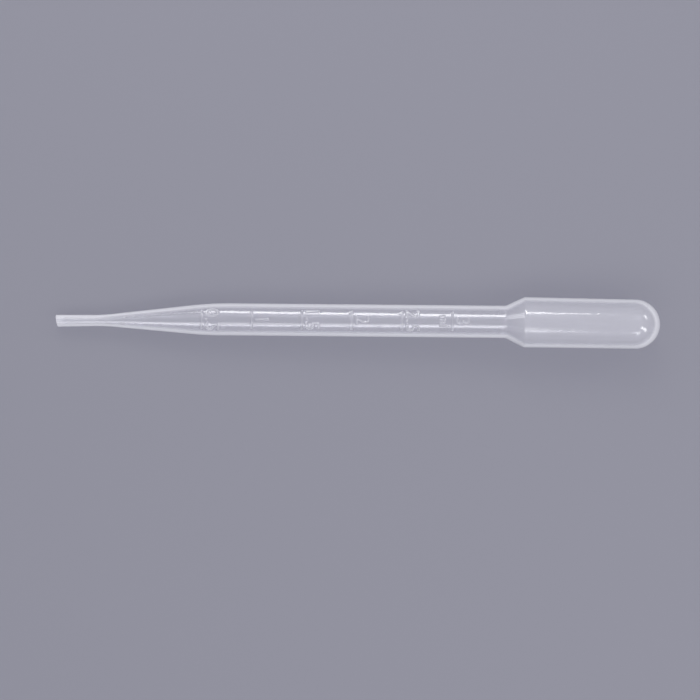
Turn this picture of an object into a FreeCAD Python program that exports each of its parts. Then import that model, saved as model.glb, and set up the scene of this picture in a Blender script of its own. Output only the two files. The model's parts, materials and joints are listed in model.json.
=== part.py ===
"""Graduated dropper pipette: one hollow piece, blow-moulded in natural low-density polyethylene.

From left to right along +X: a straight tip tube, a long taper, the stem with six raised
graduation lines, a conical neck and the squeeze bulb, which is closed by a dome. The moulding is
slightly bowed, both ends towards -Y, by a short bend at each end of the stem.

The pipette lies on its side as it comes to rest, on the bulb's rim and the shoulder of the stem,
so its axis leans up towards the bulb. The soft wall has settled to a small flat at each of the two
places, which keeps it from rolling. The origin is the middle of its length, on the surface it lies
on, and +Z is up. Lengths are millimetres and angles are degrees.
"""
import FreeCAD, Part
import math
import os
import Sketcher
from FreeCAD import Placement, Rotation, Vector

NODE = "pipette"
LATER_LINES = 5
X_AXIS, Y_AXIS = -1, -2
PLANE_NORMAL = Vector(0, 0, 1)
PLANE_UP = Vector(0, 1, 0)

# alias in the sheet, value, meaning
SIZES = (
    ("tip_length", 12.25, "mouth of the tip to the corner where the taper starts"),
    ("taper_length", 27.15, "that corner to the corner of the stem's shoulder"),
    ("stem_length", 76.2, "shoulder corner to neck corner"),
    ("bulb_length", 34.7, "rim corner of the bulb to the end of its dome"),
    ("mouth_diameter", 3.08, "outside of the tip at its mouth"),
    ("tip_diameter", 2.81, "outside of the tip where the taper starts"),
    ("stem_diameter", 8.3, "outside of the stem"),
    ("bulb_diameter", 12.92, "outside of the bulb at its rim"),
    ("tip_bore", 1.6, "inside of the tip tube, which sets the drop size"),
    ("stem_wall", 0.6, "wall of the stem"),
    ("bulb_wall", 0.48, "wall of the bulb's side"),
    ("dome_wall", 0.55, "wall at the end of the dome"),
    ("neck_angle", 26.2, "slope of the conical neck against the axis"),
    ("bulb_draft", 0.3, "slope of the bulb's side, narrowing to the dome"),
    ("blend_radius", 50, "arc between the tip tube and the taper"),
    ("shoulder_radius", 85, "arc between the taper and the stem"),
    ("neck_radius", 2, "arc between the stem and the neck"),
    ("rim_radius", 1.5, "arc between the neck and the bulb"),
    ("nose_bend", 1.02, "bow of the tip and taper against the stem"),
    ("bulb_bend", 0.47, "bow of the bulb against the stem"),
    ("bend_radius", 60, "centre line of both bends"),
    ("bend_gap", 0.4, "straight tube between a bend and the nearest arc"),
    ("cut_angle", 9, "slant of the cut across the tip's mouth"),
    ("rest_flat", 0.06, "depth of the flats that the soft wall settles to where it bears"),
    ("first_line", 38, "mouth of the tip to the first graduation line"),
    ("line_pitch", 12.8, "from one graduation line to the next, which is half a millilitre"),
    ("line_width", 0.35, "graduation line, along the stem"),
    ("line_height", 0.18, "graduation line, above the surface round it"),
    ("line_sweep", 64, "angle that a graduation line covers round the stem"),
)

# Radii and slopes, as expressions on the sheet.
STEM_OUT = "(sizes.stem_diameter / 2)"
STEM_IN = f"({STEM_OUT} - sizes.stem_wall)"
TIP_OUT = "(sizes.tip_diameter / 2)"
TIP_IN = "(sizes.tip_bore / 2)"
BULB_OUT = "(sizes.bulb_diameter / 2)"
BULB_IN = f"({BULB_OUT} - sizes.bulb_wall)"
TAPER_SLOPE = f"atan(({STEM_OUT} - {TIP_OUT}) / sizes.taper_length)"
HOLLOW_SLOPE = f"atan(({STEM_IN} - {TIP_IN}) / sizes.taper_length)"
NECK_SLOPE = "(sizes.neck_angle * 1deg)"
DRAFT = "(sizes.bulb_draft * 1deg)"
NOSE_BEND = "(sizes.nose_bend * 1deg)"
BULB_BEND = "(sizes.bulb_bend * 1deg)"

# The nose runs from the mouth of the tip to the front bend, past the arcs of both its surfaces.
SHOULDER_AT = "(sizes.tip_length + sizes.taper_length)"
HOLLOW_RADIUS = "(sizes.shoulder_radius - sizes.stem_wall)"
SHOULDER_END = f"({SHOULDER_AT} + sizes.shoulder_radius * tan({TAPER_SLOPE} / 2))"
HOLLOW_END = f"({SHOULDER_AT} + {HOLLOW_RADIUS} * tan({HOLLOW_SLOPE} / 2))"
NOSE_RUN = f"(max({SHOULDER_END}; {HOLLOW_END}) + sizes.bend_gap)"

# The bulb end runs from the rear bend, over the neck, to the end of the dome.
NECK_AT = f"(sizes.neck_radius * tan({NECK_SLOPE} / 2) + sizes.bend_gap)"
RIM_AT = f"({NECK_AT} + ({BULB_OUT} - {STEM_OUT}) / tan({NECK_SLOPE}))"
DOME_AT = f"({RIM_AT} + sizes.bulb_length)"
BULB_NARROWING = f"(sizes.bulb_length * tan({DRAFT}))"

# The body's own x axis is the stem's, from the front bend at 0 to the rear bend at STEM_RUN.
NOSE_ARC = "(sizes.bend_radius * sizes.nose_bend * pi / 180)"
BULB_ARC = "(sizes.bend_radius * sizes.bulb_bend * pi / 180)"
STEM_RUN = (f"({SHOULDER_AT} + sizes.stem_length - {NOSE_RUN} - {NECK_AT}"
            f" - {NOSE_ARC} - {BULB_ARC})")
NOSE_X = f"(-sizes.bend_radius * sin({NOSE_BEND}) - {NOSE_RUN} * cos({NOSE_BEND}))"
NOSE_Y = f"(-sizes.bend_radius * (1 - cos({NOSE_BEND})) - {NOSE_RUN} * sin({NOSE_BEND}))"
BULB_X = f"({STEM_RUN} + sizes.bend_radius * sin({BULB_BEND}))"
BULB_Y = f"(-sizes.bend_radius * (1 - cos({BULB_BEND})))"

# At rest the arc of the shoulder and the arc of the rim reach one flat surface, and rest_flat below
# it. The lean follows from the arcs' centres, each given along the stem's axis and out from it.
SHOULDER_C_X = f"({SHOULDER_END} - {NOSE_RUN} - {NOSE_ARC})"
SHOULDER_C_OUT = f"({STEM_OUT} - sizes.shoulder_radius)"
RIM_C_X = f"({BULB_X} + {RIM_AT} + sizes.rim_radius * tan(({NECK_SLOPE} + {DRAFT}) / 2))"
RIM_C_OUT = f"({BULB_OUT} - sizes.rim_radius)"
CENTRES_X = f"({RIM_C_X} - {SHOULDER_C_X})"
CENTRES_OUT = f"({RIM_C_OUT} - {SHOULDER_C_OUT})"
LEAN = (f"(atan({CENTRES_OUT} / {CENTRES_X}) - asin((sizes.shoulder_radius - sizes.rim_radius)"
        f" / sqrt({CENTRES_X} ^ 2 + {CENTRES_OUT} ^ 2)))")
AXIS_HEIGHT = (f"(sizes.shoulder_radius - sin({LEAN}) * {SHOULDER_C_X}"
               f" + cos({LEAN}) * {SHOULDER_C_OUT} - sizes.rest_flat)")
DOME_X = f"({BULB_X} + {DOME_AT})"
MIDDLE = f"(({NOSE_X} + {DOME_X}) / 2)"

NOSE_PLACE = {"moves": {"x": NOSE_X, "y": NOSE_Y}, "turn": (PLANE_NORMAL, NOSE_BEND)}
BULB_PLACE = {"moves": {"x": BULB_X, "y": BULB_Y}, "turn": (-PLANE_NORMAL, BULB_BEND)}


def make_sheet(doc):
    """The driving dimensions, a row each: alias, value, meaning."""
    sheet = doc.addObject("Spreadsheet::Sheet", "sizes")
    for row, (alias, value, meaning) in enumerate(SIZES, start=1):
        sheet.set(f"A{row}", alias)
        sheet.set(f"B{row}", str(value))
        sheet.set(f"C{row}", meaning)
        sheet.setAlias(f"B{row}", alias)
    doc.recompute()


def number(obj, expression):
    """The present value of an expression, as a plain float."""
    value = obj.evalExpression(expression)
    return float(getattr(value, "Value", value))


def attach(obj, body, role, moves=None, turn=None):
    """Put obj on one of its body's origin planes, moved along and turned about the plane's axes."""
    planes = {plane.Role: plane for plane in body.Origin.OriginFeatures}
    obj.AttachmentSupport = (planes[role], [""])
    obj.MapMode = "FlatFace"
    if turn:
        axis, angle = turn
        obj.AttachmentOffset = Placement(Vector(), Rotation(axis, 1))
        obj.setExpression("AttachmentOffset.Rotation.Angle", angle)
    for letter, expression in (moves or {}).items():
        obj.setExpression(f"AttachmentOffset.Base.{letter}", expression)


def new_sketch(body, name, role, **place):
    sketch = body.newObject("Sketcher::SketchObject", name)
    attach(sketch, body, role, **place)
    return sketch


def constrain(sketch, *constraint):
    return sketch.addConstraint(Sketcher.Constraint(*constraint))


def dimension(sketch, expression, *constraint):
    """Add a dimension that follows the expression."""
    index = constrain(sketch, *constraint, number(sketch, expression))
    sketch.setExpression(f"Constraints[{index}]", expression)


def fix_point(sketch, geometry, end, along, out):
    """Dimension a point from the sketch's origin, or put it on the y axis where along is 0."""
    if along == "0":
        constrain(sketch, "PointOnObject", geometry, end, Y_AXIS)
    else:
        dimension(sketch, along, "DistanceX", -1, 1, geometry, end)
    dimension(sketch, out, "DistanceY", -1, 1, geometry, end)


def corner_arc(before, corner, after, radius):
    """The arc that rounds a corner, with where it starts and finishes on the way past it."""
    back = (before - corner).normalize()
    ahead = (after - corner).normalize()
    half = back.getAngle(ahead) / 2
    start = corner + back * (radius / math.tan(half))
    finish = corner + ahead * (radius / math.tan(half))
    centre = corner + (back + ahead).normalize() * (radius / math.sin(half))
    turns_left = (corner - before).cross(after - corner).z > 0
    first, last = (start, finish) if turns_left else (finish, start)
    angles = [math.atan2(end.y - centre.y, end.x - centre.x) for end in (first, last)]
    if angles[1] < angles[0]:
        angles[1] += 2 * math.pi
    arc = Part.ArcOfCircle(Part.Circle(centre, PLANE_NORMAL, radius), *angles)
    return arc, start, finish, 1 if turns_left else 2


def dome_arc(before, last, reach):
    """The arc from the axis at reach back to the line from before to last, centred on the axis."""
    slope = math.atan2(before.y - last.y, last.x - before.x)
    radius = last.y * math.cos(slope) / (1 - math.sin(slope))
    centre = Vector(reach - radius, 0, 0)
    arc = Part.ArcOfCircle(Part.Circle(centre, PLANE_NORMAL, radius), 0, math.pi / 2 - slope)
    return arc, centre + Vector(math.sin(slope), math.cos(slope), 0) * radius


def half_section(body, name, corners, dome=None, **place):
    """A closed outline above the sketch's x axis, to be turned about that axis.

    It rises from the axis to the first corner and passes the others, each (along, out, radius)
    rounded by its radius. Then it drops to the axis from the last corner or, where dome gives an
    end on the axis, leaves the line to that corner for an arc that is centred on the axis.
    """
    sketch = new_sketch(body, name, "XY_Plane", **place)
    points = [Vector(number(sketch, along), number(sketch, out), 0) for along, out, _ in corners]
    arcs = {}
    for index in range(1, len(points) - 1):
        radius = number(sketch, corners[index][2])
        arcs[index] = corner_arc(*points[index - 1:index + 2], radius)
    foot = Vector(points[0].x, 0, 0)
    if dome is None:
        toe, leave = Vector(points[-1].x, 0, 0), points[-1]
        closing = Part.LineSegment(toe, leave)
    else:
        toe = Vector(number(sketch, dome), 0, 0)
        closing, leave = dome_arc(points[-2], points[-1], toe.x)

    sides = []
    for index in range(len(points) - 1):
        start = arcs[index][2] if index in arcs else points[index]
        finish = arcs[index + 1][1] if index + 1 in arcs else leave
        sides.append(sketch.addGeometry(Part.LineSegment(start, finish)))
    rise = sketch.addGeometry(Part.LineSegment(foot, points[0]))
    drop = sketch.addGeometry(closing)
    axis = sketch.addGeometry(Part.LineSegment(foot, toe))

    for index, (shape, _, _, near) in arcs.items():
        along, out, radius = corners[index]
        arc = sketch.addGeometry(shape)
        constrain(sketch, "Tangent", sides[index - 1], 2, arc, near)
        constrain(sketch, "Tangent", arc, 3 - near, sides[index], 1)
        dimension(sketch, radius, "Radius", arc)
        apex = sketch.addGeometry(Part.Point(points[index]), True)
        fix_point(sketch, apex, 1, along, out)
        constrain(sketch, "PointOnObject", apex, 1, sides[index - 1])
        constrain(sketch, "PointOnObject", apex, 1, sides[index])

    constrain(sketch, "Vertical", rise)
    constrain(sketch, "PointOnObject", rise, 1, X_AXIS)
    constrain(sketch, "Coincident", rise, 2, sides[0], 1)
    fix_point(sketch, sides[0], 1, *corners[0][:2])
    constrain(sketch, "Coincident", axis, 1, rise, 1)
    constrain(sketch, "Coincident", axis, 2, drop, 1)
    constrain(sketch, "PointOnObject", drop, 1, X_AXIS)
    if dome is None:
        constrain(sketch, "Vertical", drop)
        constrain(sketch, "Coincident", drop, 2, sides[-1], 2)
        fix_point(sketch, sides[-1], 2, *corners[-1][:2])
    else:
        constrain(sketch, "PointOnObject", drop, 3, X_AXIS)
        constrain(sketch, "Tangent", drop, 2, sides[-1], 2)
        dimension(sketch, dome, "DistanceX", -1, 1, drop, 1)
        aim = sketch.addGeometry(Part.Point(points[-1]), True)
        fix_point(sketch, aim, 1, *corners[-1][:2])
        constrain(sketch, "PointOnObject", aim, 1, sides[-1])
    return sketch


def polygon(body, name, role, corners, **place):
    """A closed sketch of straight sides through the corners, each (along, out)."""
    sketch = new_sketch(body, name, role, **place)
    points = [Vector(number(sketch, along), number(sketch, out), 0) for along, out in corners]
    count = len(points)
    sides = [sketch.addGeometry(Part.LineSegment(points[i], points[(i + 1) % count]))
             for i in range(count)]
    for index, side in enumerate(sides):
        constrain(sketch, "Coincident", side, 2, sides[(index + 1) % count], 1)
        fix_point(sketch, side, 1, *corners[index])
    return sketch


def turned(body, name, kind, sketch, sweep=None):
    """Turn the sketch about its own x axis: all the way, or by sweep with the sketch midway."""
    feature = body.newObject(f"PartDesign::{kind}", name)
    feature.Profile = sketch
    feature.ReferenceAxis = (sketch, ["H_Axis"])
    if sweep:
        feature.Midplane = True
        feature.setExpression("Angle", sweep)
    return feature


def tube_run(body, name, kind, radius):
    """The straight of the stem: a round pad, or the pocket inside it."""
    sketch = new_sketch(body, f"{name}_circle", "YZ_Plane")
    circle = sketch.addGeometry(Part.Circle(Vector(), PLANE_NORMAL, number(sketch, radius)))
    constrain(sketch, "Coincident", circle, 3, -1, 1)
    dimension(sketch, radius, "Radius", circle)
    feature = body.newObject(f"PartDesign::{kind}", name)
    feature.Profile = sketch
    feature.Reversed = kind == "Pocket"
    feature.setExpression("Length", STEM_RUN)


def bends(body, kind, radius):
    """Both bends of the tube, as parts of a ring that lies to the -Y side of the stem."""
    for end, x, sweep, start in (("front", "0", NOSE_BEND, "90deg"),
                                 ("rear", STEM_RUN, BULB_BEND, f"90deg - {BULB_BEND}")):
        ring = body.newObject(f"PartDesign::{kind}Torus", f"{end}_bend_{kind.lower()}")
        attach(ring, body, "XY_Plane", {"x": x, "y": "-sizes.bend_radius"}, (PLANE_NORMAL, start))
        ring.setExpression("Radius1", "sizes.bend_radius")
        ring.setExpression("Radius2", radius)
        ring.setExpression("Angle3", sweep)


def outside(body):
    """The outer skin as one solid."""
    tube_run(body, "stem", "Pad", STEM_OUT)
    bends(body, "Additive", STEM_OUT)
    nose = half_section(body, "nose_outline", (
        ("0", "sizes.mouth_diameter / 2", None),
        ("sizes.tip_length", TIP_OUT, "sizes.blend_radius"),
        (SHOULDER_AT, STEM_OUT, "sizes.shoulder_radius"),
        (NOSE_RUN, STEM_OUT, None)), **NOSE_PLACE)
    turned(body, "nose", "Revolution", nose)
    bulb = half_section(body, "bulb_outline", (
        ("0", STEM_OUT, None),
        (NECK_AT, STEM_OUT, "sizes.neck_radius"),
        (RIM_AT, BULB_OUT, "sizes.rim_radius"),
        (DOME_AT, f"{BULB_OUT} - {BULB_NARROWING}", None)), dome=DOME_AT, **BULB_PLACE)
    turned(body, "bulb", "Revolution", bulb)


def graduation_lines(body):
    """Raised lines across the top of the stem. The first lies on the arc of the shoulder."""
    drop = f"pow({SHOULDER_END} - sizes.first_line; 2) / (2 * sizes.shoulder_radius)"
    root = f"{STEM_OUT} - sizes.stem_wall / 2"
    top = f"{STEM_OUT} + sizes.line_height"

    def line(name, middle, below, **place):
        left = f"{middle} - sizes.line_width / 2"
        right = f"{middle} + sizes.line_width / 2"
        low, high = f"{root} - {below}", f"{top} - {below}"
        sketch = polygon(body, f"{name}_section", "XZ_Plane",
                         ((left, low), (right, low), (right, high), (left, high)), **place)
        return turned(body, name, "Revolution", sketch, "sizes.line_sweep * 1deg")

    line("first_line", "sizes.first_line", drop, moves={"x": NOSE_X, "z": f"-{NOSE_Y}"},
         turn=(PLANE_UP, NOSE_BEND))
    second = line("second_line", f"(sizes.first_line + sizes.line_pitch - {NOSE_RUN} - {NOSE_ARC})",
                  "0")
    pattern = body.newObject("PartDesign::LinearPattern", "later_lines")
    pattern.Originals = [second]
    pattern.Direction = (second.Profile[0], ["H_Axis"])
    pattern.Mode = "Spacing"
    pattern.setExpression("Offset", "sizes.line_pitch")
    pattern.Occurrences = LATER_LINES
    body.Tip = pattern


def inside(body):
    """The hollow, from the mouth of the tip to the inside of the dome."""
    tube_run(body, "stem_bore", "Pocket", STEM_IN)
    bends(body, "Subtractive", STEM_IN)
    nose = half_section(body, "nose_inline", (
        ("0", TIP_IN, None),
        ("sizes.tip_length", TIP_IN, f"sizes.blend_radius + {TIP_OUT} - {TIP_IN}"),
        (SHOULDER_AT, STEM_IN, HOLLOW_RADIUS),
        (NOSE_RUN, STEM_IN, None)), **NOSE_PLACE)
    turned(body, "nose_bore", "Groove", nose)
    bulb = half_section(body, "bulb_inline", (
        ("0", STEM_IN, None),
        (f"{NECK_AT} + sizes.stem_wall * tan({NECK_SLOPE} / 2)", STEM_IN,
         "sizes.neck_radius + sizes.stem_wall"),
        (f"{RIM_AT} + sizes.bulb_wall * tan({NECK_SLOPE} / 2)", BULB_IN,
         "sizes.rim_radius - sizes.bulb_wall"),
        (DOME_AT, f"{BULB_IN} - {BULB_NARROWING}", None)),
        dome=f"{DOME_AT} - sizes.dome_wall", **BULB_PLACE)
    turned(body, "bulb_bore", "Groove", bulb)


def cut_mouth(body):
    """The slanting cut across the tip, which leaves its +Y edge the longest."""
    reach = "sizes.mouth_diameter"
    slant = "tan(sizes.cut_angle * 1deg)"
    sketch = polygon(body, "mouth_cut_section", "XY_Plane", (
        (f"-{reach}", f"-{reach}"),
        (f"({reach} + sizes.mouth_diameter / 2) * {slant}", f"-{reach}"),
        (f"-({reach} - sizes.mouth_diameter / 2) * {slant}", reach),
        (f"-{reach}", reach)), **NOSE_PLACE)
    cut = body.newObject("PartDesign::Pocket", "mouth_cut")
    cut.Profile = sketch
    cut.SideType = "Symmetric"
    cut.setExpression("Length", f"2 * {reach}")


def rest_flats(body):
    """The two small flats, cut level with the surface that the pipette lies on."""
    def surface(along):
        return f"-({AXIS_HEIGHT} + sin({LEAN}) * {along}) / cos({LEAN})"

    below = "-sizes.bulb_diameter"
    sketch = polygon(body, "rest_section", "XZ_Plane", (
        (NOSE_X, below), (DOME_X, below), (DOME_X, surface(DOME_X)), (NOSE_X, surface(NOSE_X))))
    cut = body.newObject("PartDesign::Pocket", "rest_flats")
    cut.Profile = sketch
    cut.SideType = "Symmetric"
    cut.setExpression("Length", "2 * sizes.bulb_diameter")


def check(doc, body):
    """Stop if anything failed to build or the pipette isn't one sound solid."""
    failed = [obj.Name for obj in doc.Objects if {"Invalid", "Error"} & set(obj.State)]
    if failed:
        raise RuntimeError(f"features that did not build: {failed}")
    loose = [obj.Name for obj in doc.Objects
             if obj.TypeId == "Sketcher::SketchObject" and not obj.FullyConstrained]
    if loose:
        raise RuntimeError(f"sketches that are not fully constrained: {loose}")
    shape = body.Shape
    if shape.isNull() or not shape.isValid() or len(shape.Solids) != 1:
        raise RuntimeError("the pipette is not one valid solid")


def main():
    doc = FreeCAD.newDocument("dropper_pipette")
    make_sheet(doc)
    body = doc.addObject("PartDesign::Body", NODE)
    body.Label = NODE
    outside(body)
    graduation_lines(body)
    inside(body)
    cut_mouth(body)
    rest_flats(body)
    body.Placement = Placement(Vector(), Rotation(Vector(0, -1, 0), 1))
    body.setExpression("Placement.Rotation.Angle", LEAN)
    body.setExpression("Placement.Base.x", f"-{MIDDLE} * cos({LEAN})")
    body.setExpression("Placement.Base.z", AXIS_HEIGHT)
    doc.recompute()
    check(doc, body)
    os.makedirs("parts", exist_ok=True)
    body.Shape.exportStep(f"parts/{body.Label}.step")


main()
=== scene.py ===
"""Looks of the graduated dropper pipette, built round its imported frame.

The pipette is one blow-moulded tube of natural LDPE, so it is one piece: a closed skin that runs
from the inside of the dome, along the hollow, round the mouth of the tip and back over the outside.
Geometry Nodes turn its half outline about the axis, raise the graduations, add the unevenness of a
blown wall and lay the tube along its slight bow.

Lengths are metres. A station is a distance along the bowed centre line from the mouth of the tip.
"""

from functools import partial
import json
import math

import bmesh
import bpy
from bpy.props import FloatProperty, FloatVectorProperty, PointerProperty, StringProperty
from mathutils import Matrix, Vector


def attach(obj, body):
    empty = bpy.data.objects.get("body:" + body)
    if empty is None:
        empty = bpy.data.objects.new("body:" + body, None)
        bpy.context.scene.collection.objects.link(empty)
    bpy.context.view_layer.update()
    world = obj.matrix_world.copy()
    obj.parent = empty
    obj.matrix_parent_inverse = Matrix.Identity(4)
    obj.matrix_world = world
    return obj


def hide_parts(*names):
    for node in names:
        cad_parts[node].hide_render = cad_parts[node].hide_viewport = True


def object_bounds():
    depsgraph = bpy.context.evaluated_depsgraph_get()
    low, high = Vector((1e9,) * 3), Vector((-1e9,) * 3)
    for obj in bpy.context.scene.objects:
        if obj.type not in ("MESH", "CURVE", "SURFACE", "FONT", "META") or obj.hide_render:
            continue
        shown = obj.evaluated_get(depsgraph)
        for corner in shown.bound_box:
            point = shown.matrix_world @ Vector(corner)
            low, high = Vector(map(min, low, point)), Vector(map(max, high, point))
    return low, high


bl_info = {
    "name": "Dropper Pipette",
    "version": (1, 0, 0),
    "blender": (4, 5, 0),
    "location": "View3D > Sidebar > Pipette",
    "description": "Builds the looks of a graduated dropper pipette and its stage",
    "category": "Add Mesh",
}

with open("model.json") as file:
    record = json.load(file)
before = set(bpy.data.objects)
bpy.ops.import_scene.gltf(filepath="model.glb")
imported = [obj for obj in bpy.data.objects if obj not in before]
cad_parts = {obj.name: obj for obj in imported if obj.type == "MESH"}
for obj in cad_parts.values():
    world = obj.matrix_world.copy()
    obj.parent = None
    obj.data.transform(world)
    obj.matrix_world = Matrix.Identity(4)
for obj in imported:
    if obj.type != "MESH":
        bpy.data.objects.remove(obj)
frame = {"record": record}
cad_box = [list(corner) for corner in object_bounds()]
MOUNTS = {mount["name"]: mount for mount in frame["record"]["mounts"]}

MM = 0.001
BODY = "root"
NODE = "pipette"
SEED = 7

# Steps of the mesh, fine where a mark stands and coarse where the wall is plain. The last step of a
# run may be LAST_STEP times as long as the others.
MARK_STEP = 0.12 * MM
OUTER_STEP = 0.6 * MM
BULB_STEP = 0.35 * MM
INNER_STEP = 1.0 * MM
LAST_STEP = 1.5
ARC_STEPS = 5
BEND_STEPS = 4
LETTER_STEPS = 6
SAME_POINT = 0.001 * MM

# Of the points of a ring, this share lies within this angle of the top, where the marks are.
RING_POINTS = 121
FINE_SHARE = 0.58
FINE_ANGLE = math.radians(56)

# The path of the bow starts this far before the mouth and ends this far past the dome.
LEAD = 2 * MM

# Strokes of the letters are drawn in by this share of the font's size.
THINNER_STROKES = 0.015

# Grain of the wall's unevenness: its length along the tube, and its breadth round it in radii.
WAVE_GRAIN = (9 * MM, 1.2)
RIPPLE_GRAIN = (2.2 * MM, 0.9)
STREAK_GRAIN = (40 * MM, 0.16)

# Streaks are this many times as deep at the mouth of the drawn tip as at the first line.
DRAWN_STREAKS = 4

# Unevenness dies out this close to the axis, so that the dome closes in one point.
NEAR_AXIS = 0.6 * MM

# The slant of the cut dies out over this length of the tip.
CUT_REACH = 3 * MM

# Least x, y and z that the wall may have. Only z is ever met, where the wall bears on the floor.
FLOOR = (-1, -1, 0)


def linear(hex_colour):
    """An sRGB colour written as six hex digits, as the three linear numbers that shaders take."""
    shares = [int(hex_colour[i:i + 2], 16) / 255 for i in (0, 2, 4)]
    return tuple(v / 12.92 if v <= 0.04045 else ((v + 0.055) / 1.055) ** 2.4 for v in shares)


def length(name, millimetres, description):
    return FloatProperty(name=name, description=description, default=millimetres * MM, min=0,
                         unit="LENGTH", precision=5)


def angle(name, degrees, description):
    return FloatProperty(name=name, description=description, default=math.radians(degrees),
                         unit="ROTATION")


def share(name, value, description):
    return FloatProperty(name=name, description=description, default=value, min=0, max=1,
                         subtype="FACTOR")


def level(name, value, description):
    return FloatProperty(name=name, description=description, default=value, min=0)


def colour(name, hex_colour, description):
    return FloatVectorProperty(name=name, description=description, default=linear(hex_colour),
                               min=0, max=1, size=3, subtype="COLOR")


class PipetteTube(bpy.types.PropertyGroup):
    tip_length: length("Tip", 12.25, "Mouth of the tip to the corner where the taper starts")
    taper_length: length("Taper", 27.15, "That corner to the corner of the stem's shoulder")
    stem_length: length("Stem", 76.2, "Shoulder corner to neck corner")
    bulb_length: length("Bulb", 34.7, "Rim corner of the bulb to the end of its dome")
    mouth_diameter: length("Mouth diameter", 3.08, "Outside of the tip at its mouth")
    tip_diameter: length("Tip diameter", 2.81, "Outside of the tip where the taper starts")
    stem_diameter: length("Stem diameter", 2 * MOUNTS["stem"]["dims"]["r_mm"],
                          "Outside of the stem")
    bulb_diameter: length("Bulb diameter", 12.92, "Outside of the bulb at its rim")
    tip_bore: length("Tip bore", 2 * MOUNTS["tip_bore"]["dims"]["r_mm"], "Inside of the tip tube")
    stem_wall: length("Stem wall", 0.6, "Wall of the stem")
    bulb_wall: length("Bulb wall", 0.48, "Wall of the bulb's side")
    dome_wall: length("Dome wall", 0.55, "Wall at the end of the dome")
    neck_angle: angle("Neck angle", 26.2, "Slope of the conical neck against the axis")
    bulb_draft: angle("Bulb draft", 0.3, "Slope of the bulb's side, narrowing to the dome")
    blend_radius: length("Tip blend", 50, "Arc between the tip tube and the taper")
    shoulder_radius: length("Shoulder blend", 85, "Arc between the taper and the stem")
    neck_radius: length("Neck blend", 2, "Arc between the stem and the neck")
    rim_radius: length("Rim blend", 1.5, "Arc between the neck and the bulb")
    cut_radius: length("Cut edge", 0.08, "Rounding of both edges of the cut mouth")
    cut_angle: angle("Cut", 9, "Slant of the cut across the tip's mouth")
    nose_bend: angle("Nose bow", 1.02, "Bow of the tip and taper against the stem")
    bulb_bend: angle("Bulb bow", 0.47, "Bow of the bulb against the stem")
    bend_radius: length("Bend radius", 60, "Centre line of both bends")
    bend_gap: length("Bend gap", 0.4, "Straight tube between a bend and the nearest arc")


class PipetteMarks(bpy.types.PropertyGroup):
    first_line: length("First line", 38, "Mouth of the tip to the first graduation line")
    line_pitch: length("Line pitch", 12.8, "From one line to the next, which is half a millilitre")
    line_width: length("Line width", 0.35, "Graduation line, along the stem, at half its height")
    line_height: length("Line height", 0.18, "Graduation line, above the stem")
    line_sweep: angle("Line sweep", 64, "Angle that a line covers round the stem")
    numerals: StringProperty(name="Numerals", description="Millilitres, from the tip to the bulb",
                             default="0.5 1 1.5 2 2.5 3")
    unit: StringProperty(name="Unit", description="Unit moulded before the last line", default="ml")
    numeral_size: length("Numeral size", 3.4, "Height of a numeral, along the stem")
    numeral_width: length("Numeral width", 5.4, "Most that a numeral takes round the stem")
    numeral_gap: length("Numeral gap", 0.95, "From a line to its numeral")
    numeral_height: length("Numeral height", 0.18, "Numeral, above the stem")
    unit_size: length("Unit size", 2.0, "Height of the unit, along the stem")
    unit_gap: length("Unit gap", 1.2, "From the unit to the last line")
    flank: length("Flank", 0.18, "Width of the soft slope at the edge of a mark")


class PipetteFinish(bpy.types.PropertyGroup):
    plastic: colour("LDPE", "EAEAEF", "Natural LDPE in transmitted and scattered light")
    stem_haze: share("Stem haze", 0.28, "Share of light that the skin of the stem scatters")
    bulb_haze: share("Bulb haze", 0.39, "Share of light that the skin of the bulb scatters")
    tip_haze: share("Tip haze", 0.36, "Share of light that the skin of the tip scatters")
    mark_haze: share("Mark haze", 0.13, "Further share of the unpolished numerals")
    line_haze: share("Line haze", 0.7, "How much of that the graduation lines have")
    torn_haze: share("Torn haze", 0.4, "Further share of the torn plastic at the cut")
    edge_haze: share("Edge haze", 0.9, "Further share where the wall is seen edge on")
    tip_edge: share("Tip edge", 0.14, "Slant, 0 face on and 1 edge on, where the tip's edge starts")
    stem_edge: share("Stem edge", 0.28, "Slant where the stem's edge haze starts")
    bulb_edge: share("Bulb edge", 0.42, "Slant where the edge haze of the thin bulb starts")
    dome_edge: share("Dome edge", 0.31, "Slant where the edge haze of the thicker dome starts")
    edge_ramp: share("Edge ramp", 0.25, "Further slant over which edge haze grows to the full")
    roughness: share("Roughness", 0.09, "Roughness of the moulded skin")
    tip_roughness: share("Tip roughness", 0.26, "Roughness of the tip, which was drawn in the open")
    stem_wave: length("Stem wave", 0.004, "Slow unevenness of the outside")
    bulb_ripple: length("Bulb ripple", 0.06, "Fine rings round the blown bulb")
    streak: length("Streaks", 0.01, "Lengthwise streaks on the inside, from the extruded tube")


class PipetteStage(bpy.types.PropertyGroup):
    floor: colour("Floor", "91919B", "Matt card under the pipette")
    sky: level("Sky", 1, "Strength of the even light from all round")
    strip: level("Strip", 9.6, "Radiance of the narrow strip light beyond the pipette")
    soft_box: level("Soft box", 2.8, "Radiance of the soft box on the near side")
    head_light: level("Head light", 2.5, "Radiance of the soft light past the tip")
    end_light: level("End light", 7.5, "Radiance of the three lights round the bulb")
    low_fill: level("Low fill", 1.2, "Radiance of the long light just above the card")
    lens: FloatProperty(name="Lens", description="Focal length in millimetres", default=100)
    framed: length("Framed width", 179.6, "Width that the picture covers at the pipette")


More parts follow.
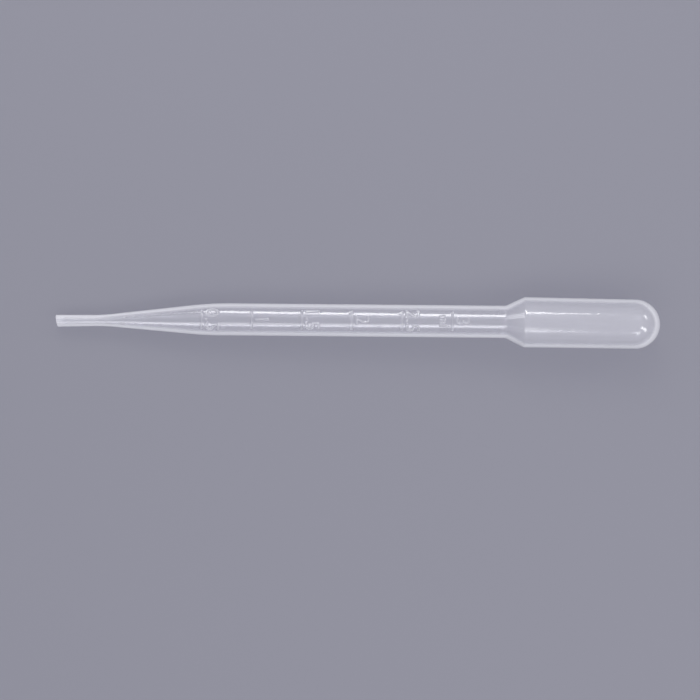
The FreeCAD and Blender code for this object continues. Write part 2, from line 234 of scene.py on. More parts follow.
def add_node(tree, kind, inputs=(), **settings):
    """Add a node, set it up, and give each input a value or link another node's output to it.

    inputs go by name in a dict and by order in a tuple. The node's outputs come back.
    """
    node = tree.nodes.new(kind)
    for name, value in settings.items():
        setattr(node, name, value)
    for key, value in inputs.items() if isinstance(inputs, dict) else enumerate(inputs):
        if isinstance(value, bpy.types.NodeSocket):
            tree.links.new(value, node.inputs[key])
        else:
            node.inputs[key].default_value = value
    return node.outputs


def new_object(name, mesh):
    made = bpy.data.objects.new(name, mesh)
    bpy.context.scene.collection.objects.link(made)
    return made


def as_mesh(source):
    """The evaluated shape of an object as a plain mesh of its own."""
    evaluated = source.evaluated_get(bpy.context.evaluated_depsgraph_get())
    return bpy.data.meshes.new_from_object(evaluated)


def discard(*objects):
    for item in objects:
        bpy.data.objects.remove(item)


# ---- the half outline and the bow ---------------------------------------------------------------

def stations(tube):
    """Stations of the corners and bends along the pipette."""
    at = {"shoulder": tube.tip_length + tube.taper_length}
    slope = math.atan((tube.stem_diameter - tube.tip_diameter) / 2 / tube.taper_length)
    at["nose_bend"] = (at["shoulder"] + tube.shoulder_radius * math.tan(slope / 2)
                       + tube.bend_gap)
    at["neck"] = at["shoulder"] + tube.stem_length
    at["bulb_bend"] = (at["neck"] - tube.neck_radius * math.tan(tube.neck_angle / 2)
                       - tube.bend_gap)
    at["rim"] = at["neck"] + ((tube.bulb_diameter - tube.stem_diameter) / 2
                              / math.tan(tube.neck_angle))
    at["dome"] = at["rim"] + tube.bulb_length
    at["stem_from"] = at["nose_bend"] + tube.bend_radius * tube.nose_bend
    at["stem_to"] = at["bulb_bend"] - tube.bend_radius * tube.bulb_bend
    return at


def skin_corners(tube, at, outside):
    """Corners of one skin, from the mouth to the dome, each (station, radius, rounding)."""
    stem_wall, bulb_wall, end_wall = (0, 0, 0) if outside else (
        tube.stem_wall, tube.bulb_wall, tube.dome_wall)
    mouth = tube.mouth_diameter / 2 if outside else tube.tip_bore / 2
    tip = tube.tip_diameter / 2 if outside else tube.tip_bore / 2
    stem = tube.stem_diameter / 2 - stem_wall
    bulb = tube.bulb_diameter / 2 - bulb_wall
    lean = math.tan(tube.neck_angle / 2)
    end = at["dome"] - end_wall
    end_radius = bulb - (end - at["rim"]) * math.tan(tube.bulb_draft)
    return [
        (0, (tube.mouth_diameter + tube.tip_bore) / 4, 0),
        (0, mouth, tube.cut_radius),
        (tube.tip_length, tip, tube.blend_radius + tube.tip_diameter / 2 - tip),
        (at["shoulder"], stem, tube.shoulder_radius - stem_wall),
        (at["neck"] + stem_wall * lean, stem, tube.neck_radius + stem_wall),
        (at["rim"] + bulb_wall * lean, bulb, tube.rim_radius - bulb_wall),
        (end, end_radius, end_radius / math.tan((math.pi / 2 - tube.bulb_draft) / 2)),
        (end, 0, 0),
    ]


def extend(path, place, run, spacing):
    """Add the points of a run, where place(share) is a point of it and spacing(point) its step."""
    part = 0
    while run * (1 - part) > LAST_STEP * spacing(place(part)):
        part += spacing(place(part)) / run
        path.append(place(part))
    if run > SAME_POINT:
        path.append(place(1))


def rounded(corners, spacing):
    """Points along straight runs from corner to corner, each corner rounded by its own radius."""
    points = [Vector(corner[:2]) for corner in corners]
    path = [points[0]]
    for index in range(1, len(points)):
        start, corner, radius = path[-1].copy(), points[index], corners[index][2]
        if radius == 0:
            extend(path, lambda part: start.lerp(corner, part), (corner - start).length, spacing)
            continue
        back = (points[index - 1] - corner).normalized()
        ahead = (points[index + 1] - corner).normalized()
        half = back.angle(ahead) / 2
        enter = corner + back * radius / math.tan(half)
        centre = corner + (back + ahead).normalized() * radius / math.sin(half)
        spoke = enter - centre
        turn = math.copysign(math.pi - 2 * half, ahead.cross(back))
        arc = radius * abs(turn)
        extend(path, lambda part: start.lerp(enter, part), (enter - start).length, spacing)
        extend(path, lambda part: centre + Matrix.Rotation(turn * part, 2) @ spoke, arc,
               lambda point: min(spacing(point), arc / ARC_STEPS))
    return path


def half_outline(tube, marks, at):
    """Vertices from the inside of the dome, round the mouth, to the outside of the dome.

    The attribute outside is 1 on the outer skin and 0 on the inner one.
    """
    lines = line_stations(marks)
    margin = 3 * marks.flank
    reach = marks.numeral_gap + marks.numeral_size + margin

    def outer_step(point):
        on_mark = any(line - OUTER_STEP < point.x < line + reach for line in lines)
        on_unit = 0 < lines[-1] - point.x < marks.unit_gap + marks.unit_size + OUTER_STEP
        if on_mark or on_unit:
            return MARK_STEP
        return BULB_STEP if point.x > at["neck"] else OUTER_STEP

    inner = rounded(skin_corners(tube, at, outside=False), lambda point: INNER_STEP)
    outer = rounded(skin_corners(tube, at, outside=True), outer_step)
    mesh = bpy.data.meshes.new("half_outline")
    mesh.from_pydata([(*point, 0) for point in inner[::-1] + outer[1:]], [], [])
    flags = mesh.attributes.new("outside", "FLOAT", "POINT")
    flags.data.foreach_set("value", [0.0] * len(inner) + [1.0] * (len(outer) - 1))
    return mesh


def bow_path(tube, at):
    """The corners of the bowed centre line, from a lead before the mouth to one past the dome."""
    front = at["stem_from"] - tube.bend_radius * math.tan(tube.nose_bend / 2)
    rear = at["stem_to"] + tube.bend_radius * math.tan(tube.bulb_bend / 2)
    nose = Matrix.Rotation(tube.nose_bend, 2) @ Vector((-front - LEAD, 0))
    bulb = Matrix.Rotation(-tube.bulb_bend, 2) @ Vector((at["dome"] - rear + LEAD, 0))
    corners = (nose.x + front, nose.y), (front, 0), (rear, 0), (rear + bulb.x, bulb.y)
    path = bpy.data.curves.new("bow", "CURVE")
    path.dimensions = "3D"
    spline = path.splines.new("POLY")
    spline.points.add(len(corners) - 1)
    for point, corner in zip(spline.points, corners):
        point.co = (*corner, 0, 1)
    return path


# ---- graduations --------------------------------------------------------------------------------

def line_stations(marks):
    return [marks.first_line + index * marks.line_pitch
            for index in range(len(marks.numerals.split()))]


def flat_word(word, height, widest, foot):
    """A word as a flat mesh, its foot at a station and its letters' tops towards the bulb."""
    text = bpy.data.curves.new("word", "FONT")
    text.body = word
    text.resolution_u = LETTER_STEPS
    text.offset = -THINNER_STROKES
    shown = new_object("word", text)
    mesh = as_mesh(shown)
    discard(shown)
    low, high = (Vector(map(pick, zip(*(v.co for v in mesh.vertices)))) for pick in (min, max))
    tall = height / (high.y - low.y)
    wide = min(tall, widest / (high.x - low.x))
    mesh.transform(Matrix.Translation((-(low.x + high.x) / 2, -low.y, 0)))
    mesh.transform(Matrix.Diagonal((wide, tall, 1, 1)))
    mesh.transform(Matrix.Translation((foot, 0, 0)) @ Matrix.Rotation(-math.pi / 2, 4, "Z"))
    return mesh


def flat_words(marks):
    """All numerals and the unit, laid out flat: along the stem in x and round it in y."""
    lines = line_stations(marks)
    joined = bmesh.new()
    words = [(word, marks.numeral_size, line + marks.numeral_gap)
             for word, line in zip(marks.numerals.split(), lines)]
    words.append((marks.unit, marks.unit_size, lines[-1] - marks.unit_gap - marks.unit_size))
    for word, tall, foot in words:
        mesh = flat_word(word, tall, marks.numeral_width, foot)
        joined.from_mesh(mesh)
        bpy.data.meshes.remove(mesh)
    mesh = bpy.data.meshes.new("words")
    joined.to_mesh(mesh)
    joined.free()
    return mesh


# ---- the blown wall -----------------------------------------------------------------------------

def wall_inputs(tube, marks, finish, at, words, bow, material):
    """Name, socket type and value of each input of the wall's tree."""
    stem = MOUNTS["stem"]
    along = -Vector(stem["axis"])
    start = Vector(stem["pos_m"]) - along * (at["stem_from"] + at["stem_to"]) / 2
    return (
        ("Half Outline", "Geometry", None),
        ("Ring Points", "Int", RING_POINTS),
        ("Fine Angle", "Float", FINE_ANGLE),
        ("Fine Share", "Float", FINE_SHARE),
        ("First Line", "Float", marks.first_line),
        ("Line Pitch", "Float", marks.line_pitch),
        ("Line Count", "Int", len(marks.numerals.split())),
        ("Line Width", "Float", marks.line_width - marks.flank),
        ("Line Reach", "Float", marks.line_sweep * tube.stem_diameter / 2),
        ("Line Height", "Float", marks.line_height),
        ("Words", "Object", words),
        ("Word Height", "Float", marks.numeral_height),
        ("Flank", "Float", marks.flank),
        ("Line Haze", "Float", finish.line_haze),
        ("Neck At", "Float", at["neck"]),
        ("Rim At", "Float", at["rim"]),
        ("Stem Wave", "Float", finish.stem_wave),
        ("Bulb Ripple", "Float", finish.bulb_ripple),
        ("Streak", "Float", finish.streak),
        ("Seed", "Int", SEED),
        ("Cut Slant", "Float", math.tan(tube.cut_angle)),
        ("Mouth Reach", "Float", tube.mouth_diameter / 2),
        ("Bow", "Object", bow),
        ("Bend Radius", "Float", tube.bend_radius),
        ("Lead", "Float", LEAD),
        ("Start", "Vector", start),
        ("Lean", "Vector", Vector((0, -math.asin(along.z), 0))),
        ("Plastic", "Material", material),
    )


def flat_sheet(node, given):
    """A flat sheet with a row for each point of the outline and a column for each of a ring.

    With it come its y, from -1 to 1 round the ring, and what each row takes from the outline: its
    station, its radius, and whether it is on the outer skin.
    """
    outline = given["Half Outline"]
    count = node("GeometryNodeAttributeDomainSize", (outline,), component="MESH")["Point Count"]
    span = node("ShaderNodeMath", (count, 1), operation="SUBTRACT")[0]
    sheet = node("GeometryNodeMeshGrid", (span, 2, count, given["Ring Points"]))["Mesh"]
    position = node("GeometryNodeInputPosition")[0]
    spot = node("ShaderNodeSeparateXYZ", (position,))
    # The sheet is centred, so half its span is added, and half a row more because an index drops
    # what is past the point.
    row = node("ShaderNodeMath", (span, 0.5, spot["X"]), operation="MULTIPLY_ADD")[0]
    row = node("ShaderNodeMath", (row, 0.5), operation="ADD")[0]
    point = node("GeometryNodeSampleIndex",
                 {"Geometry": outline, "Value": position, "Index": row},
                 data_type="FLOAT_VECTOR")[0]
    flag = node("GeometryNodeInputNamedAttribute", {"Name": "outside"}, data_type="FLOAT")[0]
    outside = node("GeometryNodeSampleIndex",
                   {"Geometry": outline, "Value": flag, "Index": row}, data_type="FLOAT")[0]
    point = node("ShaderNodeSeparateXYZ", (point,))
    return sheet, spot["Y"], point["X"], point["Y"], outside


def ring_angle(node, given, across):
    """The angle from the top of a place across the sheet, in fine steps where the marks are."""
    swing = node("ShaderNodeMath", (across,), operation="ABSOLUTE")[0]
    fine = node("ShaderNodeMapRange", {"Value": swing, "From Max": given["Fine Share"],
                                       "To Max": given["Fine Angle"]})[0]
    rest = node("ShaderNodeMath", (math.pi, given["Fine Angle"]), operation="SUBTRACT")[0]
    coarse = node("ShaderNodeMapRange", {"Value": swing, "From Min": given["Fine Share"],
                                         "To Max": rest})[0]
    swing = node("ShaderNodeMath", (fine, coarse), operation="ADD")[0]
    sign = node("ShaderNodeMath", (across,), operation="SIGN")[0]
    return node("ShaderNodeMath", (swing, sign), operation="MULTIPLY")[0]


def graduations(node, given, station, radius, turn):
    """How high the lines and how high the words raise each point.

    They lie flat beside the sheet. The nearer a point is to one, the higher it rises.
    """
    first = node("ShaderNodeCombineXYZ", (given["First Line"],))[0]
    pitch = node("ShaderNodeCombineXYZ", (given["Line Pitch"],))[0]
    feet = node("GeometryNodeMeshLine", {"Count": given["Line Count"], "Start Location": first,
                                         "Offset": pitch})[0]
    line = node("GeometryNodeMeshGrid", (given["Line Width"], given["Line Reach"], 2, 2))["Mesh"]
    lines = node("GeometryNodeInstanceOnPoints", {"Points": feet, "Instance": line})[0]
    lines = node("GeometryNodeRealizeInstances", (lines,))[0]
    words = node("GeometryNodeObjectInfo", (given["Words"],))["Geometry"]
    round_stem = node("ShaderNodeMath", (turn, radius), operation="MULTIPLY")[0]
    flat_spot = node("ShaderNodeCombineXYZ", (station, round_stem))[0]
    rises = []
    for shapes, height in ((lines, given["Line Height"]), (words, given["Word Height"])):
        away = node("GeometryNodeProximity", {0: shapes, "Sample Position": flat_spot},
                    target_element="FACES")["Distance"]
        rises.append(node("ShaderNodeMapRange", {
            "Value": away, "From Max": given["Flank"], "To Min": height, "To Max": 0},
            interpolation_type="SMOOTHSTEP")[0])
    return rises


def unevenness(node, given, station, sine, cosine):
    """How far a slow wave, rings on the bulb and lengthwise streaks raise each point."""
    skin_spot = node("ShaderNodeCombineXYZ", (station, sine, cosine))[0]
    on_bulb = node("ShaderNodeMapRange", {"Value": station, "From Min": given["Neck At"],
                                          "From Max": given["Rim At"]})[0]
    ripple = node("ShaderNodeMath", (on_bulb, given["Bulb Ripple"]), operation="MULTIPLY")[0]
    drawn = node("ShaderNodeMapRange", {"Value": station, "From Max": given["First Line"],
                                        "To Min": DRAWN_STREAKS, "To Max": 1})[0]
    streak = node("ShaderNodeMath", (drawn, given["Streak"]), operation="MULTIPLY")[0]
    rises = []
    for (lengthwise, around), height in (
            (WAVE_GRAIN, given["Stem Wave"]), (RIPPLE_GRAIN, ripple), (STREAK_GRAIN, streak)):
        scaled = node("ShaderNodeVectorMath", (skin_spot, (1 / lengthwise, 1 / around, 1 / around)),
                      operation="MULTIPLY")[0]
        noise = node("ShaderNodeTexNoise", {"Vector": scaled, "W": given["Seed"], "Scale": 1,
                                            "Detail": 1}, noise_dimensions="4D")[0]
        # Noise has its middle at a half, which is taken off so that the wall stays where it was.
        centred = node("ShaderNodeMath", (noise, 0.5), operation="SUBTRACT")[0]
        rises.append(node("ShaderNodeMath", (centred, height), operation="MULTIPLY")[0])
    return rises


def slanting_cut(node, given, station, sideways):
    """Stations slid along for the cut, which leaves the +Y edge of the mouth the longest."""
    near_cut = node("ShaderNodeMapRange", {"Value": station, "From Max": CUT_REACH, "To Min": 1,
                                           "To Max": 0}, interpolation_type="SMOOTHSTEP")[0]
    slip = node("ShaderNodeMath", (given["Mouth Reach"], sideways), operation="SUBTRACT")[0]
    slant = node("ShaderNodeMath", (near_cut, given["Cut Slant"]), operation="MULTIPLY")[0]
    return node("ShaderNodeMath", (slip, slant, station), operation="MULTIPLY_ADD")[0]


def beside_bow(node, given, station, sideways, upwards):
    """The place that is so far along the bowed centre line, sideways from it and above it."""
    bow = node("GeometryNodeObjectInfo", (given["Bow"],))["Geometry"]
    bow = node("GeometryNodeFilletCurve", {"Curve": bow, "Count": BEND_STEPS,
                                           "Radius": given["Bend Radius"]}, mode="POLY")[0]
    run = node("ShaderNodeMath", (station, given["Lead"]), operation="ADD")[0]
    centre = node("GeometryNodeSampleCurve", {"Curves": bow, "Length": run}, mode="LENGTH")
    side = node("ShaderNodeVectorMath", ((0, 0, 1), centre["Tangent"]),
                operation="CROSS_PRODUCT")[0]
    side = node("ShaderNodeVectorMath", {0: side, "Scale": sideways}, operation="SCALE")[0]
    up = node("ShaderNodeCombineXYZ", {"Z": upwards})[0]
    place = node("ShaderNodeVectorMath", (centre["Position"], side), operation="ADD")[0]
    return node("ShaderNodeVectorMath", (place, up), operation="ADD")[0]


def wall_tree(inputs):
    """The tree that turns the half outline about the axis and makes the blown wall of it."""
    tree = bpy.data.node_groups.new("blown_wall", "GeometryNodeTree")
    for name, kind, _ in inputs:
        tree.interface.new_socket(name, in_out="INPUT", socket_type=f"NodeSocket{kind}")
    tree.interface.new_socket("Wall", in_out="OUTPUT", socket_type="NodeSocketGeometry")
    node = partial(add_node, tree)
    given = node("NodeGroupInput")
    sheet, across, station, radius, outside = flat_sheet(node, given)
    turn = ring_angle(node, given, across)
    sine = node("ShaderNodeMath", (turn,), operation="SINE")[0]
    cosine = node("ShaderNodeMath", (turn,), operation="COSINE")[0]

    # Two attributes tell the plastic where the graduations are and where the outer skin is.
    lines, words = graduations(node, given, station, radius, turn)
    clouded = node("ShaderNodeMath", (lines, given["Line Haze"], words),
                   operation="MULTIPLY_ADD")[0]
    clouded = node("ShaderNodeMath", (clouded, given["Line Height"]), operation="DIVIDE")[0]
    clouded = node("ShaderNodeMath", (clouded, outside), operation="MULTIPLY")[0]
    for name, value in (("mark", clouded), ("skin", outside)):
        sheet = node("GeometryNodeStoreNamedAttribute", {"Geometry": sheet, "Name": name,
                                                         "Value": value})[0]

    # Outside are the graduations, the slow wave and the rings, and inside are the streaks.
    wave, ripple, streak = unevenness(node, given, station, sine, cosine)
    outer = node("ShaderNodeMath", (lines, words), operation="MAXIMUM")[0]
    outer = node("ShaderNodeMath", (outer, wave), operation="ADD")[0]
    outer = node("ShaderNodeMath", (outer, ripple), operation="ADD")[0]
    lift = node("ShaderNodeMix", {"Factor": outside, "A": streak, "B": outer})[0]
    off_axis = node("ShaderNodeMapRange", {"Value": radius, "From Max": NEAR_AXIS})[0]
    radius = node("ShaderNodeMath", (lift, off_axis, radius), operation="MULTIPLY_ADD")[0]
    sideways = node("ShaderNodeMath", (radius, sine), operation="MULTIPLY")[0]
    upwards = node("ShaderNodeMath", (radius, cosine), operation="MULTIPLY")[0]

    # Along the bow, then to the place at rest, with a flat where the soft wall bears.
    station = slanting_cut(node, given, station, sideways)
    place = beside_bow(node, given, station, sideways, upwards)
    wall = node("GeometryNodeSetPosition", {"Geometry": sheet, "Position": place})[0]
    wall = node("GeometryNodeTransform", {"Geometry": wall, "Translation": given["Start"],
                                          "Rotation": given["Lean"]})[0]
    position = node("GeometryNodeInputPosition")[0]
    settled = node("ShaderNodeVectorMath", (position, FLOOR), operation="MAXIMUM")[0]
    wall = node("GeometryNodeSetPosition", {"Geometry": wall, "Position": settled})[0]
    wall = node("GeometryNodeMergeByDistance", {"Geometry": wall, "Distance": SAME_POINT})[0]
    wall = node("GeometryNodeSetShadeSmooth", (wall,))[0]
    wall = node("GeometryNodeRealizeInstances", (wall,))[0]
    wall = node("GeometryNodeSetMaterial", {"Geometry": wall, "Material": given["Plastic"]})[0]
    node("NodeGroupOutput", (wall,))
    return tree


# ---- natural LDPE -------------------------------------------------------------------------------

# Stations at which the finish of the drawn tip starts to give way to the stem's. Its haze is gone
# by HAZE_GONE, and the rest by the shoulder.
HAZE_FADES = 10 * MM
HAZE_GONE = 18 * MM
EDGE_FADES = 12 * MM
ROUGHNESS_FADES = 8 * MM

# The bulb's haze starts this far before the neck, and the dome's edge grows between these two
# distances from its end.
NECK_LEAD = 2 * MM
DOME_FROM = 7 * MM
DOME_TO = 3 * MM

# What one skin leaves of the red, green and blue light that goes straight through it.
LET_THROUGH = (0.93, 0.93, 0.94)

# Torn fibres at the cut. Real ones are finer, and these are as coarse as it takes to show.
TORN_REACH = 2.5 * MM
TORN_GRAIN = 0.6 * MM

# Orange peel of the moulded skin.
PEEL_GRAIN = 0.9 * MM
PEEL_DEPTH = 0.01 * MM
PEEL_STRENGTH = 0.05


def face_on_haze(node, finish, at, place, station):
    """The share of light that the wall scatters where it is seen face on.

    Real LDPE is milky all through. Here the milk is on the outer skin, where it stays above a
    quarter, because with less there the gloss renders grainy. Only the torn cut has some inside.
    """
    tip = node("ShaderNodeMapRange", {
        "Value": station, "From Min": HAZE_FADES, "From Max": HAZE_GONE,
        "To Min": finish.tip_haze, "To Max": finish.stem_haze})[0]
    bulb = node("ShaderNodeMapRange", {
        "Value": station, "From Min": at["neck"] - NECK_LEAD, "From Max": at["rim"],
        "To Min": 0, "To Max": finish.bulb_haze - finish.stem_haze})[0]
    haze = node("ShaderNodeMath", (tip, bulb), operation="ADD")[0]
    skin = node("ShaderNodeAttribute", attribute_name="skin")["Fac"]
    haze = node("ShaderNodeMath", (haze, skin), operation="MULTIPLY")[0]
    mark = node("ShaderNodeAttribute", attribute_name="mark")["Fac"]
    haze = node("ShaderNodeMath", (mark, finish.mark_haze, haze), operation="MULTIPLY_ADD")[0]
    torn = node("ShaderNodeTexNoise", {"Vector": place, "Scale": 1 / TORN_GRAIN, "Detail": 2})[0]
    near_cut = node("ShaderNodeMapRange", {
        "Value": station, "From Max": TORN_REACH, "To Min": finish.torn_haze, "To Max": 0})[0]
    return node("ShaderNodeMath", (torn, near_cut, haze), operation="MULTIPLY_ADD")[0]


def edge_on_haze(node, finish, at, station):
    """The further share that the wall scatters where it is seen edge on.

    Sight along the wall goes through far more of it, the more so the thicker it is.
    """
    facing = node("ShaderNodeLayerWeight", {"Blend": 0.5})["Facing"]
    taper = node("ShaderNodeMapRange", {
        "Value": station, "From Min": EDGE_FADES, "From Max": at["shoulder"],
        "To Min": finish.tip_edge, "To Max": finish.stem_edge})[0]
    bulb = node("ShaderNodeMapRange", {
        "Value": station, "From Min": at["neck"], "From Max": at["rim"],
        "To Min": 0, "To Max": finish.bulb_edge - finish.stem_edge})[0]
    end = cad_box[1][0] - cad_box[0][0]
    dome = node("ShaderNodeMapRange", {
        "Value": station, "From Min": end - DOME_FROM, "From Max": end - DOME_TO,
        "To Min": 0, "To Max": finish.dome_edge - finish.bulb_edge})[0]
    starts = node("ShaderNodeMath", (taper, bulb), operation="ADD")[0]
    starts = node("ShaderNodeMath", (starts, dome), operation="ADD")[0]
    full = node("ShaderNodeMath", (starts, finish.edge_ramp), operation="ADD")[0]
    return node("ShaderNodeMapRange", {
        "Value": facing, "From Min": starts, "From Max": full, "To Min": 0,
        "To Max": finish.edge_haze}, interpolation_type="SMOOTHSTEP")[0]


def natural_ldpe(finish, at):
    """Natural low-density polyethylene, extruded and blown against a polished mould.

    To the eye it is clear plastic of index 1.51 made milky: what lies behind shows through it pale
    and cool, least of all in the bulb and the drawn tip, and a wall seen edge on is nearly white.
    Its skin has a soft gloss that a fine orange peel breaks up, and the tip, which met no mould, is
    duller.
    """
    material = bpy.data.materials.new("natural_ldpe_blow_moulded")
    material.use_nodes = True
    tree = material.node_tree
    tree.nodes.clear()
    node = partial(add_node, tree)
    place = node("ShaderNodeTexCoord")["Object"]
    # The bow is too slight to matter here, so a station is a distance in x.
    lengthwise = node("ShaderNodeSeparateXYZ", (place,))["X"]
    station = node("ShaderNodeMath", (lengthwise, cad_box[0][0]), operation="SUBTRACT")[0]
    face_on = face_on_haze(node, finish, at, place, station)
    edge_on = edge_on_haze(node, finish, at, station)
    haze = node("ShaderNodeMath", (face_on, edge_on), operation="ADD", use_clamp=True)[0]
    clear = node("ShaderNodeMath", (1, haze), operation="SUBTRACT")[0]
    peel = node("ShaderNodeTexNoise", {"Vector": place, "Scale": 1 / PEEL_GRAIN, "Detail": 1})[0]
    bump = node("ShaderNodeBump", {"Height": peel, "Strength": PEEL_STRENGTH,
                                   "Distance": PEEL_DEPTH})[0]
    rough = node("ShaderNodeMapRange", {
        "Value": station, "From Min": ROUGHNESS_FADES, "From Max": at["shoulder"],
        "To Min": finish.tip_roughness, "To Max": finish.roughness})[0]
    shader = node("ShaderNodeBsdfPrincipled", {
        "Base Color": (*finish.plastic, 1), "Roughness": rough, "IOR": 1.51,
        "Transmission Weight": clear, "Normal": bump})[0]

    # Light bound for the card or bounced off it goes straight through, and each skin keeps a little
    # of it, so the thin wall casts a faint shadow.
    ray = node("ShaderNodeLightPath")
    passed = node("ShaderNodeBsdfTransparent", ((*LET_THROUGH, 1),))[0]
    for kind in ("Is Shadow Ray", "Is Diffuse Ray"):
        shader = node("ShaderNodeMixShader", (ray[kind], shader, passed))[0]
    node("ShaderNodeOutputMaterial", (shader,))
    return material


class PIPETTE_OT_wall(bpy.types.Operator):
    """Make the blown wall of the pipette, with its graduations, as one closed piece"""
    bl_idname = "pipette.wall"
    bl_label = "Pipette wall"

    def execute(self, context):
        scene = context.scene
        tube, marks, finish = scene.pipette_tube, scene.pipette_marks, scene.pipette_finish
        at = stations(tube)
        outline = new_object("half_outline", half_outline(tube, marks, at))
        words = new_object("words", flat_words(marks))
        bow = new_object("bow", bow_path(tube, at))
        inputs = wall_inputs(tube, marks, finish, at, words, bow, natural_ldpe(finish, at))
        blown = outline.modifiers.new("Blown wall", "NODES")
        blown.node_group = wall_tree(inputs)
        sockets = [item for item in blown.node_group.interface.items_tree if item.in_out == "INPUT"]
        for socket, (_, _, value) in zip(sockets, inputs):
            if value is not None:
                blown[socket.identifier] = value
        wall = new_object("pipette_wall", as_mesh(outline))
        outline.modifiers.remove(blown)
        discard(outline, words, bow)
        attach(wall, BODY)
        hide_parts(NODE)
        return {"FINISHED"}


# ---- the stage ----------------------------------------------------------------------------------

# Half the width of the card, its drop below the floor, and how far out it turns into the world's
# colour.
CARD_REACH = 2.0
CARD_DROP = 0.02 * MM
SWEEP_FROM = 0.2
SWEEP_TO = 0.5

# Each band of light: its name, the two ends of its middle line, its breadth, the setting that gives
# its radiance, and the shares of its length over which it grows at its start and dims at its end.
PLAIN_ENDS = (0.02, 0.02)
LIGHTS = (
    ("strip_light", (-0.25, 0.572, 0.259), (0.09, 0.365, 0.479), 0.12, "strip", (0.35, 0.08)),
    ("soft_box", (-0.5, -0.353, 0.485), (0.092, -0.353, 0.485), 0.24, "soft_box", (0.3, 0.045)),
    ("head_light", (-0.56, 0.31, 0.26), (-0.36, 0.31, 0.52), 0.26, "head_light", (0.3, 0.1)),
    ("end_light", (0.509, -0.291, 0.342), (0.299, -0.151, 0.568), 0.12, "end_light", PLAIN_ENDS),
    ("end_fill", (0.515, 0.217, 0.362), (0.393, 0.375, 0.362), 0.1, "end_light", PLAIN_ENDS),
    ("near_end", (0.145, -0.41, 0.46), (0.25, -0.41, 0.46), 0.12, "end_light", (0.1, 0.4)),
    ("low_fill", (-0.3, -0.6, 0.06), (0.3, -0.6, 0.06), 0.1, "low_fill", PLAIN_ENDS),
)

# The camera looks straight down, beside the middle of the pipette and slightly turned.
CAMERA_SHIFT = (-1.63 * MM, -7.5 * MM)
CAMERA_TURN = math.radians(0.557)


def matt_card(stage):
    """Matt coloured card, pressed from fine pulp, so it is even and has next to no gloss.

    Far from the pipette, past the light of the lamps, it grows into the colour of the world.
    """
    material = bpy.data.materials.new("matt_card")
    material.use_nodes = True
    tree = material.node_tree
    tree.nodes.clear()
    node = partial(add_node, tree)
    card = node("ShaderNodeBsdfPrincipled", {
        "Base Color": (*stage.floor, 1), "Roughness": 0.9, "Specular IOR Level": 0.2})[0]
    sweep = node("ShaderNodeEmission", {"Color": (*stage.floor, 1), "Strength": stage.sky})[0]
    place = node("ShaderNodeTexCoord")["Object"]
    away = node("ShaderNodeVectorMath", (place,), operation="LENGTH")["Value"]
    far = node("ShaderNodeMapRange", {
        "Value": away, "From Min": SWEEP_FROM, "From Max": SWEEP_TO},
        interpolation_type="SMOOTHSTEP")[0]
    shader = node("ShaderNodeMixShader", (far, card, sweep))[0]
    node("ShaderNodeOutputMaterial", (shader,))
    return material


def area_light(name, start, end, breadth, radiance, fades):
    """A straight band of light between two places, turned to the origin.

    fades are the shares of its length over which it grows at its start and dims at its end.
    """
    start, end = Vector(start), Vector(end)
    middle, along = (start + end) / 2, end - start
    back = (middle - middle.project(along)).normalized()
    light = bpy.data.lights.new(name, "AREA")
    light.shape = "RECTANGLE"
    light.size, light.size_y = along.length, breadth
    light.energy = radiance * math.pi * along.length * breadth
    light.use_nodes = True
    light.node_tree.nodes.clear()
    node = partial(add_node, light.node_tree)
    place = node("ShaderNodeSeparateXYZ", (node("ShaderNodeNewGeometry")["Parametric"],))["X"]
    grown = node("ShaderNodeMapRange", {"Value": place, "From Max": fades[0]},
                 interpolation_type="SMOOTHSTEP")[0]
    left = node("ShaderNodeMapRange", {"Value": place, "From Min": 1, "From Max": 1 - fades[1]},
                interpolation_type="SMOOTHSTEP")[0]
    strength = node("ShaderNodeMath", (grown, left), operation="MULTIPLY")[0]
    glow = node("ShaderNodeEmission", {"Strength": strength})[0]
    node("ShaderNodeOutputLight", (glow,))
    lamp = new_object(name, light)
    along.normalize()
    turn = Matrix((along, back.cross(along), back)).transposed()
    lamp.matrix_world = Matrix.LocRotScale(middle, turn, None)
    lamp.visible_camera = False


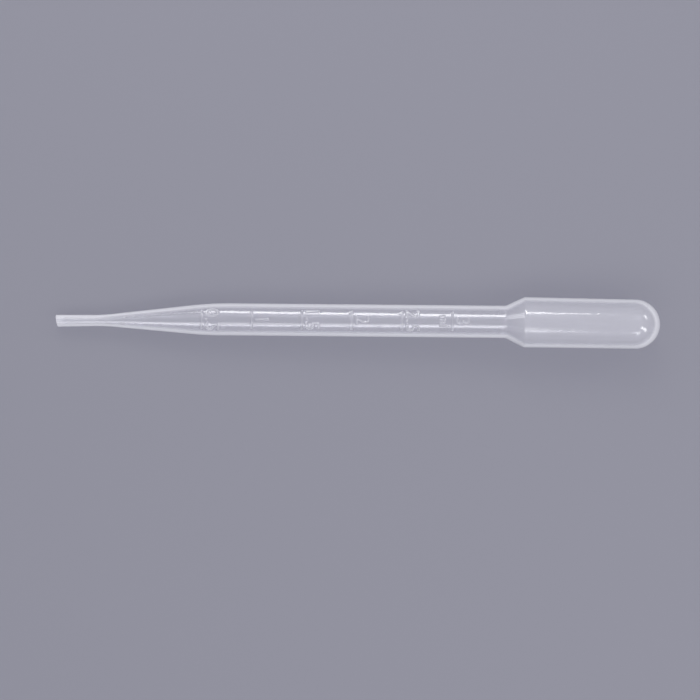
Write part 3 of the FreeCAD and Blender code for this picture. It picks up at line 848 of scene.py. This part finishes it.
class PIPETTE_OT_stage(bpy.types.Operator):
    """Make the card under the pipette, its lights and the camera above it"""
    bl_idname = "pipette.stage"
    bl_label = "Stage"

    def execute(self, context):
        scene = context.scene
        stage = scene.pipette_stage
        card = bpy.data.meshes.new("card")
        corners = [(x * CARD_REACH, y * CARD_REACH, -CARD_DROP)
                   for x, y in ((-1, -1), (1, -1), (1, 1), (-1, 1))]
        card.from_pydata(corners, [], [(0, 1, 2, 3)])
        card.materials.append(matt_card(stage))
        new_object("card", card)

        for name, start, end, breadth, setting, fades in LIGHTS:
            area_light(name, start, end, breadth, getattr(stage, setting), fades)
        # The low fill lightens the near side of the wall and stays out of its gloss.
        bpy.data.objects["low_fill"].visible_glossy = False

        world = bpy.data.worlds.new("studio")
        world.use_nodes = True
        world.node_tree.nodes.clear()
        sky = add_node(world.node_tree, "ShaderNodeBackground", {
            "Color": (*stage.floor, 1), "Strength": stage.sky})[0]
        add_node(world.node_tree, "ShaderNodeOutputWorld", (sky,))
        scene.world = world

        camera = bpy.data.cameras.new("camera")
        camera.lens = stage.lens
        holder = new_object("camera", camera)
        middle = [(low + high) / 2 for low, high in zip(*cad_box)]
        away = stage.framed * stage.lens / camera.sensor_width
        holder.location = (middle[0] + CAMERA_SHIFT[0], middle[1] + CAMERA_SHIFT[1],
                           MOUNTS["stem"]["pos_m"][2] + away)
        holder.rotation_euler = (0, 0, CAMERA_TURN)
        scene.camera = holder
        scene.view_settings.view_transform = "Standard"
        return {"FINISHED"}


# ---- the panel ----------------------------------------------------------------------------------

class PIPETTE_PT_sidebar(bpy.types.Panel):
    """The pipette's sizes, finish and stage, and what makes them"""
    bl_label = "Dropper Pipette"
    bl_idname = "PIPETTE_PT_sidebar"
    bl_space_type = "VIEW_3D"
    bl_region_type = "UI"
    bl_category = "Pipette"

    def draw(self, context):
        for group, operator in PANEL_ROWS:
            box = self.layout.box()
            settings = getattr(context.scene, group)
            for name in settings.__annotations__:
                box.prop(settings, name)
            if operator:
                box.operator(operator)


GROUPS = {
    "pipette_tube": PipetteTube,
    "pipette_marks": PipetteMarks,
    "pipette_finish": PipetteFinish,
    "pipette_stage": PipetteStage,
}
PANEL_ROWS = (
    ("pipette_tube", None),
    ("pipette_marks", None),
    ("pipette_finish", "pipette.wall"),
    ("pipette_stage", "pipette.stage"),
)
CLASSES = (*GROUPS.values(), PIPETTE_OT_wall, PIPETTE_OT_stage, PIPETTE_PT_sidebar)


def register():
    for item in CLASSES:
        bpy.utils.register_class(item)
    for name, group in GROUPS.items():
        setattr(bpy.types.Scene, name, PointerProperty(type=group))


def unregister():
    for name in GROUPS:
        delattr(bpy.types.Scene, name)
    for item in reversed(CLASSES):
        bpy.utils.unregister_class(item)


def main():
    register()
    bpy.ops.pipette.wall()
    bpy.ops.pipette.stage()


if __name__ == "__main__":
    main()
